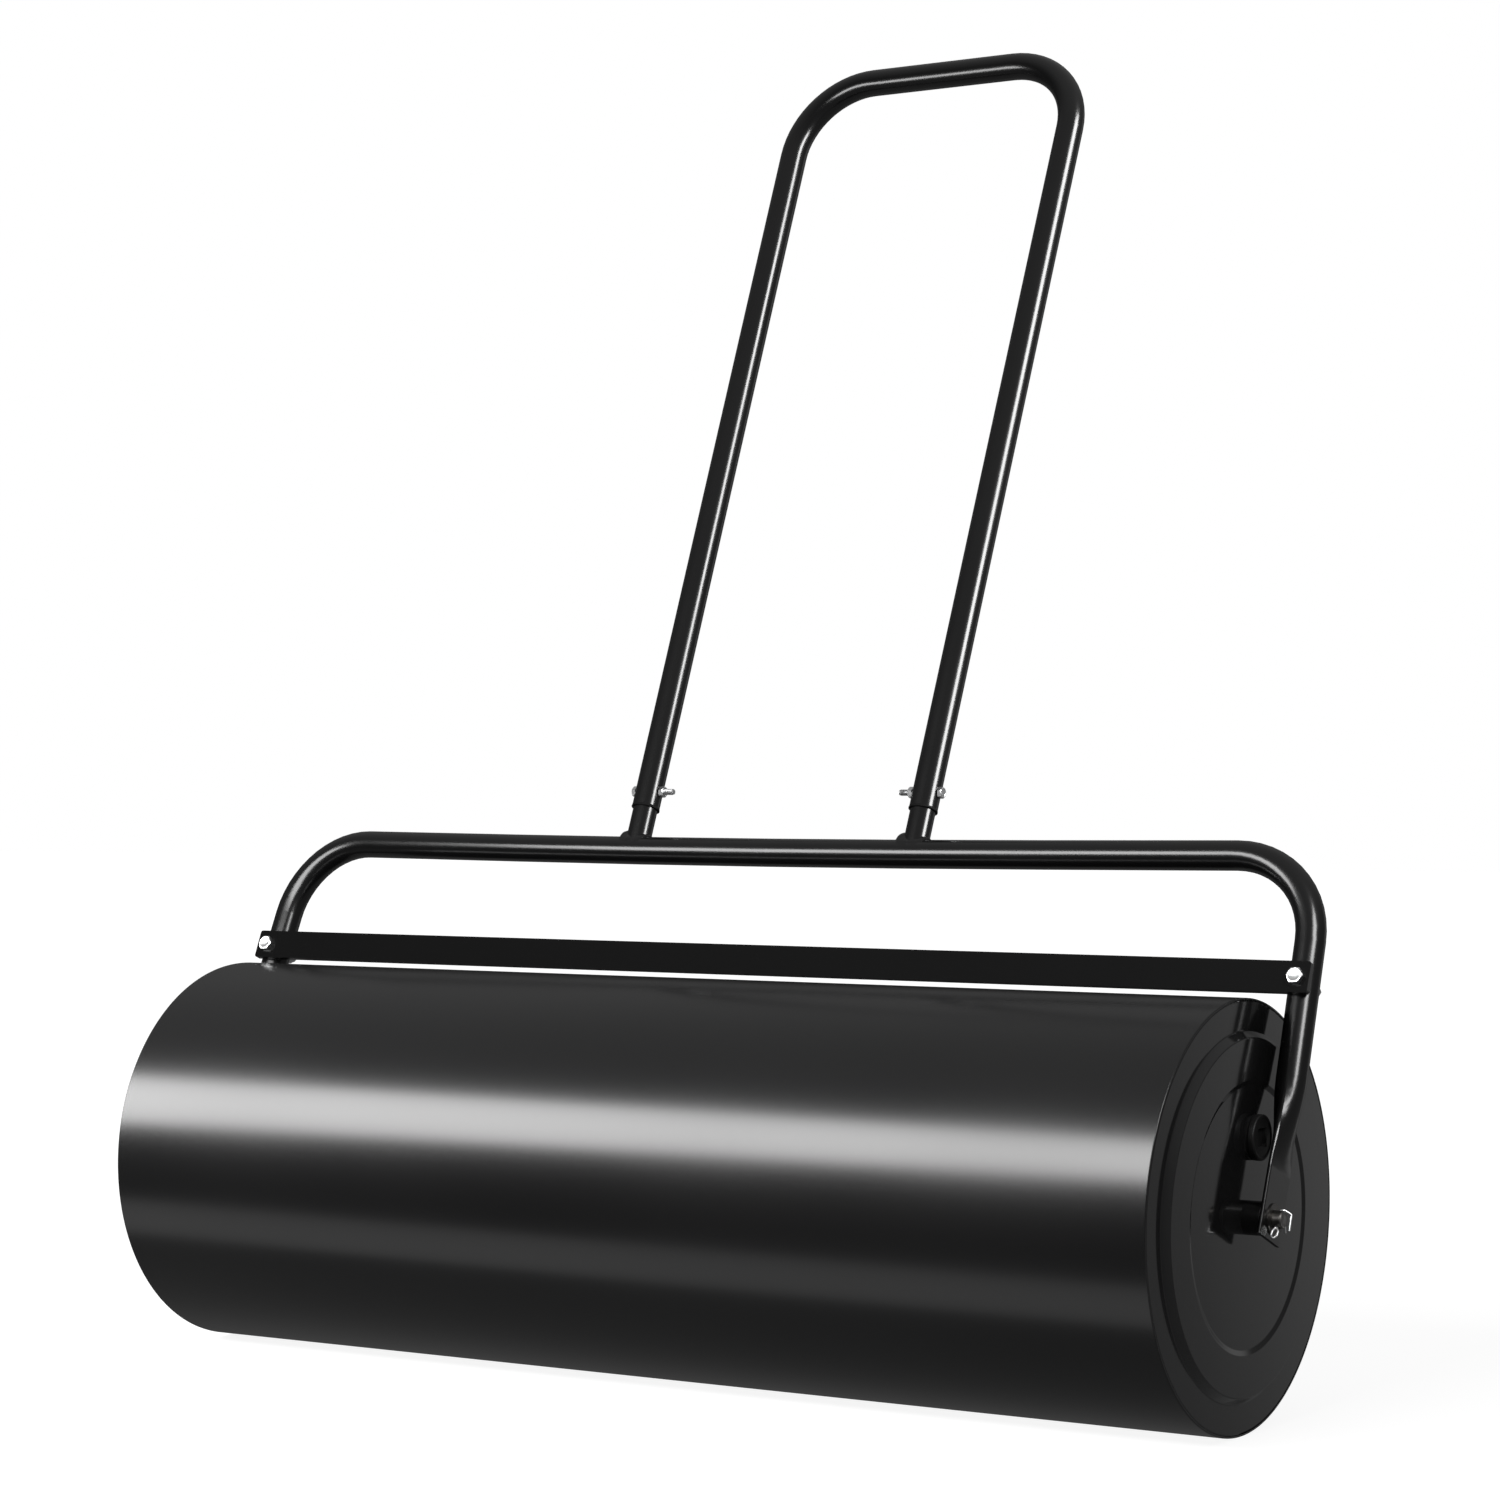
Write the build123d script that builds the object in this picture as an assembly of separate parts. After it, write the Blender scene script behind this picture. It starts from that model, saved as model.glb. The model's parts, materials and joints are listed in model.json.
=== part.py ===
from build123d import *
import os
from math import cos, pi, radians, sin
from typing import NamedTuple

# A walk-behind lawn roller: a hollow water-fillable steel drum that turns on a fixed axle, a bent
# tube yoke with flattened ends, a scraper bar bolted across the yoke, and a U-shaped handle whose
# legs sleeve over two stubs welded to the yoke and are held by one bolt each.
#
# Millimetres. +Z is up, X runs along the drum axis, and the handle leans back towards +Y. The
# origin is on the ground, straight below the middle of the drum.

# ---- drum ----
drum_diameter = 304
drum_length = 900
shell_wall = 1.5
cap_wall = 1.5
cap_skirt = 15            # how far the cap's rim is turned in along the shell
cap_ridge = 5.5           # how far the pressed ring stands out of the cap's rim
cap_recess = 1.2          # how far the middle disc lies below the ring
cap_rim = 23              # width of the cap's flat rim
outer_step = 4.5          # width of the step up from the rim to the ring
ring_width = 29.5
inner_step = 3.5          # width of the step down from the ring to the disc
cap_bend = 1.2            # radius of the pressed bends

# ---- axle, sleeve and bushings ----
axle_diameter = 12.7
bushing_wall = 3.6
sleeve_wall = 2
sleeve_stand_out = 13.4   # how far the sleeve stands out of the cap's middle disc
bushing_length = 25
bushing_flange = 1.5
bushing_clearance = 0.05  # radial running fit of the drum on its axle
end_float = 0.3           # side play between each bushing and its inner washer
washer_thickness = 1.0
outer_washer_rim = 4.5    # width of the outer washer round its hole
hole_clearance = 0.15     # radial clearance of plain holes on the axle
axle_end = 7              # how far the axle runs past its outer washer
axle_chamfer = 0.8

# ---- split pins ----
wire_diameter = 1.5
wire_gap = 0.1            # between the pin's two wires
pin_hole_clearance = 0.25
eye_half_width = 2.2      # to the middle of the wire
eye_shoulder = 2.5        # the eye's length from the axle to its widest point ...
eye_side = 3.5            # ... along its two straight sides ...
eye_nose = 2.3            # ... and on to its tip
pin_turn = 50             # degrees from +Y up to the side where the prongs come out
pin_washer_gap = 0.2
prong_gap = 0.85          # between the outer prong and the axle's end

# ---- yoke ----
lean = 22.8               # degrees that yoke and handle lean back from upright
tube_diameter = 22.3
tube_wall = 1.2
bar_clearance = 118       # top bar's centre line above the drum's surface
bar_sag = 4.5             # the top bar dips this much towards its middle
bar_sag_radius = 25000
arm_splay = 7.6           # each arm leans out by this much from the top bar to its tongue
yoke_bend = 67
tongue_thickness = 3
tongue_width = 36
tongue_top = 34           # the tongue's flat runs from here ...
tongue_drop = 15          # ... to this far below the axle
flare_length = 68         # from the tongue's flat up to the round tube
crush_gap = 0.4           # slit left between the tube's walls where it is flattened
flare_sections = 5

# ---- stubs and handle ----
handle_diameter = 22.3
stub_clearance = 0.25     # radial gap between a stub and the handle leg over it
stub_wall = 1.2
stub_height = 80          # stub's top above the top bar's centre line
weld_leg = 3.4
handle_wall = 1.0
handle_foot = 33          # handle's lower ends above the top bar's centre line
handle_height = 707       # crossbar above the top bar's centre line
handle_half_foot = 128.3  # leg centre at the top bar's height
handle_half_top = 134     # leg centre at the crossbar's height
handle_bend = 66
handle_bolt_height = 48   # bolts above the top bar's centre line

# ---- scraper ----
scraper_overhang = 10     # bar beyond the middle of each bolt
scraper_width = 23.5
scraper_thickness = 5
scraper_clearance = 8.5   # bar's lower edge above the drum's surface, measured up the yoke
scraper_corner = 2

# ---- handle bolts and nuts ----
leg_bolt_diameter = 5
leg_bolt_length = 35
leg_bolt_flats = 8        # width of the hexagon across its flats
leg_bolt_head = 3.5
leg_nut_height = 4

# ---- scraper bolts and nuts ----
bar_bolt_diameter = 6.35
bar_bolt_length = 38.1
bar_bolt_flats = 11.1
bar_bolt_head = 4.0
bar_nut_height = 5.6

# ---- all bolts and nuts ----
bolt_tip = 0.8
thread_clearance = 0.05
bolt_hole_clearance = 0.25
seat_gap = 0.05

# ---- filler port in the right cap ----
filler_radius = 55.7      # filler's centre from the drum axis
filler_turn = 9.3         # degrees from straight up over towards the back
filler_neck_wall = 2.35
filler_neck_height = 1.2  # how far the neck stands out of the cap
filler_neck_depth = 9     # how far it reaches in behind the cap
filler_flange_rim = 2.5   # width of the flange that holds the neck from inside
filler_flange_height = 2
plug_diameter = 26.4
plug_clearance = 0.15     # radial, in place of the thread
plug_head_rim = 3         # width of the head round the plug's shank
plug_head_height = 5
plug_head_edge = 0.8
plug_shank_length = 12
plug_square = 12.9
plug_square_depth = 3.4
gasket_thickness = 1.2
gasket_rim = 2.7

# ---- values that follow from the above ----
drum_radius = drum_diameter / 2
half_length = drum_length / 2
shell_inside = drum_radius - shell_wall
ring_outer_foot = drum_radius - cap_rim
ring_outer_top = ring_outer_foot - outer_step
ring_inner_top = ring_outer_top - ring_width
ring_inner_foot = ring_inner_top - inner_step
disc_face = half_length + cap_ridge - cap_recess
ring_face = half_length + cap_ridge
axle_radius = axle_diameter / 2
sleeve_radius = axle_radius + bushing_clearance + bushing_wall + sleeve_wall
sleeve_end = disc_face + sleeve_stand_out
flange_face = sleeve_end + bushing_flange
tongue_inside = flange_face + end_float + washer_thickness
tongue_centre = tongue_inside + tongue_thickness / 2
tongue_outside = tongue_inside + tongue_thickness
washer_face = tongue_outside + washer_thickness
axle_half = washer_face + axle_end
wire_radius = wire_diameter / 2
pin_x = washer_face + pin_washer_gap + eye_half_width + wire_radius
wire_offset = wire_radius + wire_gap / 2
prong_out = axle_half - pin_x + wire_diameter + prong_gap
washer_hole = axle_radius + hole_clearance
pin_hole_radius = wire_offset + wire_radius + pin_hole_clearance
tube_radius = tube_diameter / 2
bar_height = drum_radius + bar_clearance
bar_half_width = tongue_centre - arm_splay
flare_top = tongue_top + flare_length
handle_radius = handle_diameter / 2
stub_radius = handle_radius - handle_wall - stub_clearance
bolt_height = bar_height + handle_bolt_height
scraper_centre = drum_radius + scraper_clearance + scraper_width / 2
scraper_back = tube_radius + seat_gap
scraper_front = scraper_back + scraper_thickness
boss_face = disc_face + filler_neck_height
cap_back = disc_face - cap_wall
plug_seat = boss_face + gasket_thickness
filler_bore = plug_diameter / 2 + plug_clearance
filler_neck = filler_bore + filler_neck_wall
filler_flange = filler_neck + filler_flange_rim
plug_head = plug_diameter / 2 + plug_head_rim


class BoltSize(NamedTuple):
    """A hexagon bolt and the nut that goes with it."""

    diameter: float
    length: float
    flats: float
    head: float
    nut: float


leg_bolt = BoltSize(leg_bolt_diameter, leg_bolt_length, leg_bolt_flats, leg_bolt_head, leg_nut_height)
bar_bolt = BoltSize(bar_bolt_diameter, bar_bolt_length, bar_bolt_flats, bar_bolt_head, bar_nut_height)

# The yoke's own plane: x across the roller, y up the yoke, z out of its front.
yoke_plane = Plane(
    origin=(0, 0, drum_radius),
    x_dir=(1, 0, 0),
    z_dir=(0, -cos(radians(lean)), sin(radians(lean))),
)


def on_yoke(shape):
    """Moves a shape from the yoke's own coordinates to the roller's."""
    return yoke_plane.location * shape


def on_axis(shape):
    """Raises a shape made about the X axis to the drum axis."""
    return Pos(0, 0, drum_radius) * shape


def ring(outer_radius, inner_radius, start, end):
    """A plain ring or tube about the X axis, from x = start to x = end."""
    profile = Plane.YZ.offset(start) * (Circle(outer_radius) - Circle(inner_radius))
    return extrude(profile, amount=end - start, dir=(1, 0, 0))


def rod(radius, start, end):
    """A cylinder of the given radius between two points."""
    span = Vector(*end) - Vector(*start)
    return extrude(Plane(origin=start, z_dir=span) * Circle(radius), amount=span.length)


def group(*solids):
    """Several separate solids as one node."""
    return Compound(children=list(solids))


def mirrored(shape):
    """The same shape on the other side of the roller."""
    return mirror(shape, about=Plane.YZ)


# ---------------------------------------------------------------- drum
def make_drum_shell():
    """The rolled sheet, open at both ends."""
    return on_axis(ring(drum_radius, shell_inside, -half_length, half_length))


def make_cap():
    """A pressed end cap for the right end, with a raised ring, a middle disc and a turned-in rim."""
    outside = [
        (disc_face, sleeve_radius),
        (disc_face, ring_inner_foot),
        (ring_face, ring_inner_top),
        (ring_face, ring_outer_top),
        (half_length, ring_outer_foot),
        (half_length, shell_inside),
        (half_length - cap_skirt, shell_inside),
    ]
    inside = [
        (half_length - cap_skirt, shell_inside - cap_wall),
        (half_length - cap_wall, shell_inside - cap_wall),
        (half_length - cap_wall, ring_outer_foot),
        (ring_face - cap_wall, ring_outer_top),
        (ring_face - cap_wall, ring_inner_top),
        (disc_face - cap_wall, ring_inner_foot),
        (disc_face - cap_wall, sleeve_radius),
    ]
    profile = make_face(Polyline(*outside, *inside, close=True))
    open_ends = (sleeve_radius, half_length - cap_skirt)
    bends = [v for v in profile.vertices() if v.Y > open_ends[0] + cap_wall and v.X > open_ends[1] + cap_wall]
    return on_axis(revolve(fillet(bends, cap_bend), axis=Axis.X))


def make_axle_sleeve():
    """The tube through the drum that keeps the water in and carries the bushings."""
    return on_axis(ring(sleeve_radius, sleeve_radius - sleeve_wall, -sleeve_end, sleeve_end))


def make_bushing():
    """The right-hand flanged nylon bushing."""
    bore = axle_radius + bushing_clearance
    body = ring(sleeve_radius - sleeve_wall, bore, sleeve_end - bushing_length, sleeve_end)
    flange = ring(sleeve_radius, bore, sleeve_end, flange_face)
    return on_axis(body + flange)


# ---------------------------------------------------------------- filler
def on_filler(shape):
    """Moves a shape made about the X axis to the filler's axis."""
    turn = radians(filler_turn)
    return Pos(0, filler_radius * sin(turn), drum_radius + filler_radius * cos(turn)) * shape


def make_filler_boss():
    """The flanged ring that is welded into the right cap and takes the plug's thread."""
    neck = ring(filler_neck, filler_bore, cap_back - filler_neck_depth, boss_face)
    flange = ring(filler_flange, filler_bore, cap_back - filler_flange_height, cap_back)
    return on_filler(neck + flange)


def make_plug_gasket():
    """The flat ring under the plug's head."""
    return on_filler(ring(filler_bore + gasket_rim, filler_bore, boss_face, plug_seat))


def make_filler_plug():
    """The screw plug, with a square recess for a wrench."""
    top = plug_seat + plug_head_height
    head = rod(plug_head, (plug_seat, 0, 0), (top, 0, 0))
    head = chamfer(head.edges().filter_by(GeomType.CIRCLE).sort_by(Axis.X)[-1], plug_head_edge)
    shank = rod(plug_diameter / 2, (plug_seat - plug_shank_length, 0, 0), (plug_seat, 0, 0))
    recess = Box(plug_square_depth, plug_square, plug_square, align=(Align.MAX, Align.CENTER, Align.CENTER))
    return on_filler(head + shank - Pos(top, 0, 0) * recess)


def make_right_cap():
    """The right end cap, which has the hole for the filler boss."""
    hole = on_filler(rod(filler_neck, (half_length - cap_skirt, 0, 0), (ring_face, 0, 0)))
    return make_cap() - hole


# ---------------------------------------------------------------- axle
def make_axle():
    """The fixed rod through the drum, drilled near both ends for the split pins."""
    body = rod(axle_radius, (-axle_half, 0, 0), (axle_half, 0, 0))
    body = chamfer(body.edges().filter_by(GeomType.CIRCLE), axle_chamfer)
    turn = radians(pin_turn)
    reach = (0, axle_diameter * cos(turn), axle_diameter * sin(turn))
    for x in (-pin_x, pin_x):
        body -= rod(pin_hole_radius, (x, -reach[1], -reach[2]), (x, reach[1], reach[2]))
    return on_axis(body)


def washer_pair(outer_radius, start):
    """Two washers on the axle, one on each side."""
    washer = on_axis(ring(outer_radius, washer_hole, start, start + washer_thickness))
    return group(washer, mirrored(washer))


def make_split_pin():
    """The right split pin: one wire with an eye below the axle, and two prongs bent over above it."""
    turn = radians(pin_turn)
    plane = Plane(
        origin=(pin_x, 0, drum_radius),
        x_dir=(0, cos(turn), sin(turn)),
        z_dir=(0, sin(turn), -cos(turn)),
    )
    near = axle_radius + wire_radius
    bend = near + wire_diameter
    widest, straight = near + eye_shoulder, near + eye_shoulder + eye_side
    eye = [
        (-near, wire_offset, 0),
        (-widest, eye_half_width, 0),
        (-straight, eye_half_width, 0),
        (-straight - eye_nose, 0, 0),
        (-straight, -eye_half_width, 0),
        (-widest, -eye_half_width, 0),
        (-near, -wire_offset, 0),
    ]
    outer_prong = [
        (-near / 2, prong_out, near + wire_radius),
        (near, prong_out, near / 2),
        (bend, wire_offset, 0),
    ]
    inner_prong = [
        (bend, -wire_offset, 0),
        (near, -wire_offset, bend),
        (0, -wire_offset, 2 * bend - wire_radius),
    ]
    path = plane.location * FilletPolyline(*outer_prong, *eye, *inner_prong, radius=wire_diameter)
    return sweep(Plane(origin=path @ 0, z_dir=path % 0) * Circle(wire_radius), path=path)


# ---------------------------------------------------------------- yoke
def arm_x(height):
    """Centre of the right arm at a height up the yoke."""
    return tongue_centre - arm_splay * (height - tongue_top) / (bar_height - tongue_top)


def leg_x(height):
    """Centre of the right handle leg at a height up the yoke."""
    splay = handle_half_top - handle_half_foot
    return handle_half_foot + splay * (height - bar_height) / handle_height


def tube_section(plane, radius, squeeze, thickness, width):
    """A closed outline between a circle (squeeze 0) and a flattened tube (squeeze 1)."""
    straight = (width - thickness) / 2
    turn = pi * straight / (2 * straight + pi * thickness / 2)

    def between(x_round, y_round, x_flat, y_flat):
        x = x_round + (x_flat - x_round) * squeeze
        y = y_round + (y_flat - y_round) * squeeze
        return plane.from_local_coords((x, y, 0))

    corners = [
        between(sx * radius * cos(turn), sy * radius * sin(turn), sx * thickness / 2, sy * straight)
        for sx, sy in ((1, -1), (1, 1), (-1, 1), (-1, -1))
    ]
    middles = [
        between(sx * radius, sy * radius, sx * thickness / 2, sy * width / 2)
        for sx, sy in ((1, 0), (0, 1), (-1, 0), (0, -1))
    ]
    edges = []
    for index, middle in enumerate(middles):
        start, end = corners[index], corners[(index + 1) % 4]
        is_flat = squeeze == 1 and index % 2 == 0
        edges.append(Line(start, end) if is_flat else ThreePointArc(start, middle, end))
    return Wire([curve.edge() for curve in edges])


def flare(radius, thickness, width):
    """The stretch of the right arm where the round tube runs out into its flattened end."""
    foot = Vector(arm_x(tongue_top), tongue_top, 0)
    head = Vector(arm_x(flare_top), flare_top, 0)
    outlines = []
    for step in range(flare_sections):
        share = step / (flare_sections - 1)
        up = Vector(0, 1, 0) if share == 1 else (head - foot).normalized()
        plane = Plane(origin=head + (foot - head) * share, x_dir=Vector(up.Y, -up.X, 0), z_dir=up)
        outlines.append(tube_section(plane, radius, share * share * (2 - share), thickness, width))
    return Solid.make_loft(outlines)


def bent_bar(radius):
    """The round part of the yoke as a solid bar: both arms, both bends and the dipping top bar."""
    foot = (arm_x(flare_top), flare_top)
    corner = (bar_half_width, bar_height)
    path = FilletPolyline(
        (-foot[0], foot[1]),
        (-corner[0], corner[1]),
        (0, bar_height - bar_sag),
        corner,
        foot,
        radius=[yoke_bend, bar_sag_radius, yoke_bend],
    )
    return sweep(Plane(origin=path @ 0, z_dir=path % 0) * Circle(radius), path=path)


def tongue():
    """The flat end of the right arm, cut square below the axle."""
    middle = (tongue_top - tongue_drop) / 2
    flat = tongue_width - tongue_thickness
    plate = Box(tongue_thickness, tongue_top + tongue_drop, flat)
    edge = Rot(90, 0, 0) * Cylinder(tongue_thickness / 2, tongue_top + tongue_drop)
    plate += [Pos(0, 0, side * flat / 2) * edge for side in (-1, 1)]
    return Pos(tongue_centre, middle, 0) * plate


def make_yoke_outside():
    """The yoke's outer shape with nothing hollow, in the yoke's own coordinates."""
    end = flare(tube_radius, tongue_thickness, tongue_width) + tongue()
    return bent_bar(tube_radius) + end + mirrored(end)


def bolt_hole(x):
    """A hole for a scraper bolt, front to back."""
    radius, reach = bar_bolt.diameter / 2 + bolt_hole_clearance, 2 * tube_diameter
    return rod(radius, (x, scraper_centre, -reach), (x, scraper_centre, reach))


def make_yoke(outside):
    """The bent tube that carries the drum, with flattened ends on the axle."""
    inside_end = flare(tube_radius - tube_wall, crush_gap, tongue_width - 2 * tube_wall)
    inside = bent_bar(tube_radius - tube_wall) + inside_end + mirrored(inside_end)
    yoke = outside - inside - rod(washer_hole, (-axle_half, 0, 0), (axle_half, 0, 0))
    for side in (-1, 1):
        yoke -= bolt_hole(side * arm_x(scraper_centre))
    return on_yoke(yoke)


# ---------------------------------------------------------------- stubs and handle
def leg_hole():
    """The hole for a handle bolt through the right leg and its stub."""
    radius = leg_bolt.diameter / 2 + bolt_hole_clearance
    x, reach = leg_x(bolt_height), handle_diameter
    return rod(radius, (x - reach, bolt_height, 0), (x + reach, bolt_height, 0))


def stub_rod(radius):
    """A bar of the right stub's line, from inside the top bar to the stub's top."""
    foot, top = bar_height - bar_sag, bar_height + stub_height
    return rod(radius, (leg_x(foot), foot, 0), (leg_x(top), top, 0))


def make_stub(outside):
    """The right stub, cut to sit on the top bar."""
    return stub_rod(stub_radius) - stub_rod(stub_radius - stub_wall) - outside - leg_hole()


def make_weld(outside):
    """The weld bead around the right stub's foot."""
    collar = stub_rod(stub_radius + weld_leg) - stub_rod(stub_radius)
    return (collar & bent_bar(tube_radius + weld_leg)) - outside


def make_handle():
    """The U-shaped push handle, with a hole through each leg."""
    foot_height, top_height = bar_height + handle_foot, bar_height + handle_height
    foot, corner = (leg_x(foot_height), foot_height), (handle_half_top, top_height)
    path = FilletPolyline(
        (-foot[0], foot[1]), (-corner[0], corner[1]), corner, foot, radius=handle_bend
    )
    plane = Plane(origin=path @ 0, z_dir=path % 0)
    tube = sweep(plane * Circle(handle_radius), path=path)
    tube -= sweep(plane * Circle(handle_radius - handle_wall), path=path)
    return on_yoke(tube - leg_hole() - mirrored(leg_hole()))


# ---------------------------------------------------------------- scraper
def make_scraper():
    """The flat bar across the front of the yoke, just above the drum."""
    length = 2 * (arm_x(scraper_centre) + scraper_overhang)
    bar = Box(length, scraper_width, scraper_thickness)
    bar = fillet(bar.edges().filter_by(Axis.Z), scraper_corner)
    bar = Pos(0, scraper_centre, scraper_back + scraper_thickness / 2) * bar
    for side in (-1, 1):
        bar -= bolt_hole(side * arm_x(scraper_centre))
    return on_yoke(bar)


# ---------------------------------------------------------------- bolts and nuts
def hexagon(flats, height):
    """A hexagonal block standing on z = 0 with its upper corners turned off."""
    corner_radius = flats / (2 * cos(pi / 6))
    turned = Cylinder(corner_radius, height, align=(Align.CENTER, Align.CENTER, Align.MIN))
    turned = chamfer(turned.edges().filter_by(GeomType.CIRCLE).sort_by(Axis.Z)[-1], bolt_tip / 2, bolt_tip)
    block = extrude(RegularPolygon(flats / 2, 6, major_radius=False), amount=height)
    return turned & block


def bolt(size, seat, outward):
    """A hexagon bolt whose head sits on a point and faces outward."""
    shank = Cylinder(size.diameter / 2, size.length, align=(Align.CENTER, Align.CENTER, Align.MAX))
    shank = chamfer(shank.edges().filter_by(GeomType.CIRCLE).sort_by(Axis.Z)[0], bolt_tip)
    return Plane(origin=seat, z_dir=outward).location * (hexagon(size.flats, size.head) + shank)


def nut(size, seat, outward):
    """A hexagon nut that sits on a point, with its turned side outward."""
    bore = Cylinder(size.diameter / 2 + thread_clearance, 4 * size.nut)
    return Plane(origin=seat, z_dir=outward).location * (hexagon(size.flats, size.nut) - bore)


def fasteners(make, size, x, height, depth, outward):
    """One fastener on the right at a place on the yoke, and its twin on the left."""
    right = make(size, (x, height, depth), outward)
    return group(on_yoke(right), on_yoke(mirrored(right)))


# ---------------------------------------------------------------- assembly
def build():
    """Every piece by name, on the roller's own axes."""
    outside = make_yoke_outside()
    bushing, pin = make_bushing(), make_split_pin()
    stub, weld = make_stub(outside), make_weld(outside)
    seat = handle_radius + seat_gap
    leg, arm = leg_x(bolt_height), arm_x(scraper_centre)
    front, back = scraper_front + seat_gap, -tube_radius - seat_gap
    return {
        "drum_shell": make_drum_shell(),
        "end_cap_right": make_right_cap(),
        "end_cap_left": mirrored(make_cap()),
        "axle_sleeve": make_axle_sleeve(),
        "bushing_right": bushing,
        "bushing_left": mirrored(bushing),
        "filler_boss": make_filler_boss(),
        "filler_plug": make_filler_plug(),
        "plug_gasket": make_plug_gasket(),
        "axle_rod": make_axle(),
        "inner_washers": washer_pair(sleeve_radius, flange_face + end_float),
        "outer_washers": washer_pair(washer_hole + outer_washer_rim, tongue_outside),
        "split_pin_right": pin,
        "split_pin_left": mirrored(pin),
        "yoke_tube": make_yoke(outside),
        "handle_stub_right": on_yoke(stub),
        "handle_stub_left": on_yoke(mirrored(stub)),
        "stub_welds": group(on_yoke(weld), on_yoke(mirrored(weld))),
        "handle_tube": make_handle(),
        "handle_bolts": fasteners(bolt, leg_bolt, leg + seat, bolt_height, 0, (1, 0, 0)),
        "handle_nuts": fasteners(nut, leg_bolt, leg - seat, bolt_height, 0, (-1, 0, 0)),
        "scraper_bar": make_scraper(),
        "scraper_bolts": fasteners(bolt, bar_bolt, arm, scraper_centre, front, (0, 0, 1)),
        "scraper_nuts": fasteners(nut, bar_bolt, arm, scraper_centre, back, (0, 0, -1)),
    }


os.makedirs("parts", exist_ok=True)
for name, piece in build().items():
    export_step(piece, f"parts/{name}.step")
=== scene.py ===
import json
from math import cos, hypot, pi, radians, sin, tan

import bmesh
import bpy
from mathutils import Matrix, Vector, noise


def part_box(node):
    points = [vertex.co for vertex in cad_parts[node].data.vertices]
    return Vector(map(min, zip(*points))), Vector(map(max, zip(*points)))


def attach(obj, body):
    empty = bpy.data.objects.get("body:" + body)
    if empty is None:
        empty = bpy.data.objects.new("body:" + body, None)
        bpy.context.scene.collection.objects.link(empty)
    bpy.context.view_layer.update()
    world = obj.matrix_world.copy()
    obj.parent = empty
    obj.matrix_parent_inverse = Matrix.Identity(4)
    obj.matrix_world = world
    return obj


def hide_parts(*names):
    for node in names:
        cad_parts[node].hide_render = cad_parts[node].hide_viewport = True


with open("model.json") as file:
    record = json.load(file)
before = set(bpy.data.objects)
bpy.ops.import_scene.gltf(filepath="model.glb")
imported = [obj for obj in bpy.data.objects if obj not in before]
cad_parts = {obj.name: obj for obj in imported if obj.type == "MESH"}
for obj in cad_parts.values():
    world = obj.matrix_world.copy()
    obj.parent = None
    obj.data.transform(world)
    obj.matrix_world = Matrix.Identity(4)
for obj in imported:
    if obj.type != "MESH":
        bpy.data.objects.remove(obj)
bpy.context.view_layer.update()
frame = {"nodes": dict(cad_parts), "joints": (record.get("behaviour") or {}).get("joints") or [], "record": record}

NODES = frame["nodes"]
JOINTS = {joint["name"]: joint for joint in frame["joints"]}
MOUNTS = {mount["name"]: mount for mount in frame["record"]["mounts"]}
MM = 0.001

AXIS = Vector(JOINTS["drum_spin"]["pos_m"])        # on the drum's axis, in the middle
PORT = Vector(JOINTS["plug_turn"]["pos_m"])        # on the filler's axis, at its face
ACROSS = Vector((1.0, 0.0, 0.0))
UP = Vector(MOUNTS["hand_grip"]["axis"])           # up the yoke and handle
FRONT = ACROSS.cross(UP)                           # out of the yoke's front
SIDES = {"right": 1, "left": -1}


# ---------------------------------------------------------------- measuring the CAD nodes
def span(node, along, side=0):
    """The least and greatest reach of a CAD node along a direction, over one side or over both."""
    reach = [v.co.dot(along) for v in NODES[node].data.vertices if v.co.x * side >= 0]
    return min(reach), max(reach)


def middle(node, along, side=0):
    """Halfway between a CAD node's two ends along a direction."""
    return sum(span(node, along, side)) / 2


def at(across, up, front):
    """A point from its distances along the yoke's own directions."""
    return ACROSS * across + UP * up + FRONT * front


# ---------------------------------------------------------------- camera and studio
CAMERA_PLACE = (1.5251, -2.3328, 0.4587)
CAMERA_TURN = (90.393, 0.0, 32.383)                # degrees
CAMERA_LENS = 87.98                                # mm
CAMERA_SENSOR = 36.0                               # mm

ROOM_FRONT = 0.05                                  # how bright the room is, by direction
ROOM_BACK = 0.10
ROOM_SIDE = 0.15
ROOM_CORNER = (0.12, 0.46)                         # the right corner at the back, from its side to its back
CEILING = 0.36
GROUND = 0.16
WALL_BAND = (-0.5, 0.8)                            # where one brightness runs into the next: parts of a
CORNER_BAND = (0.88, 0.93)                         # direction of length 1
CORNER_START = (0.05, 0.35)
SIDE_BAND = (0.55, 0.9)
CEILING_BAND = (0.15, 1.0)
GROUND_BAND = (-0.25, -0.75)
FLOOR_GLOW = 0.90                                  # the floor's painted glow near the roller, seen by the camera only; lower than further out, so a painted shade round the roller
FLOOR_GREY = 0.25
FLOOR_FADE = (0.7, 1.7)                            # from the drum's middle, over which it turns white
FLOOR_HALF = 14.0


def make_camera():
    """The camera, about level with the handle's feet and 33 degrees round to the right of the front."""
    data = bpy.data.cameras.new("camera")
    data.lens = CAMERA_LENS
    data.sensor_width = CAMERA_SENSOR
    data.dof.use_dof = False
    camera = bpy.data.objects.new("camera", data)
    camera.location = CAMERA_PLACE
    camera.rotation_euler = [radians(angle) for angle in CAMERA_TURN]
    bpy.context.collection.objects.link(camera)
    bpy.context.scene.camera = camera


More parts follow.
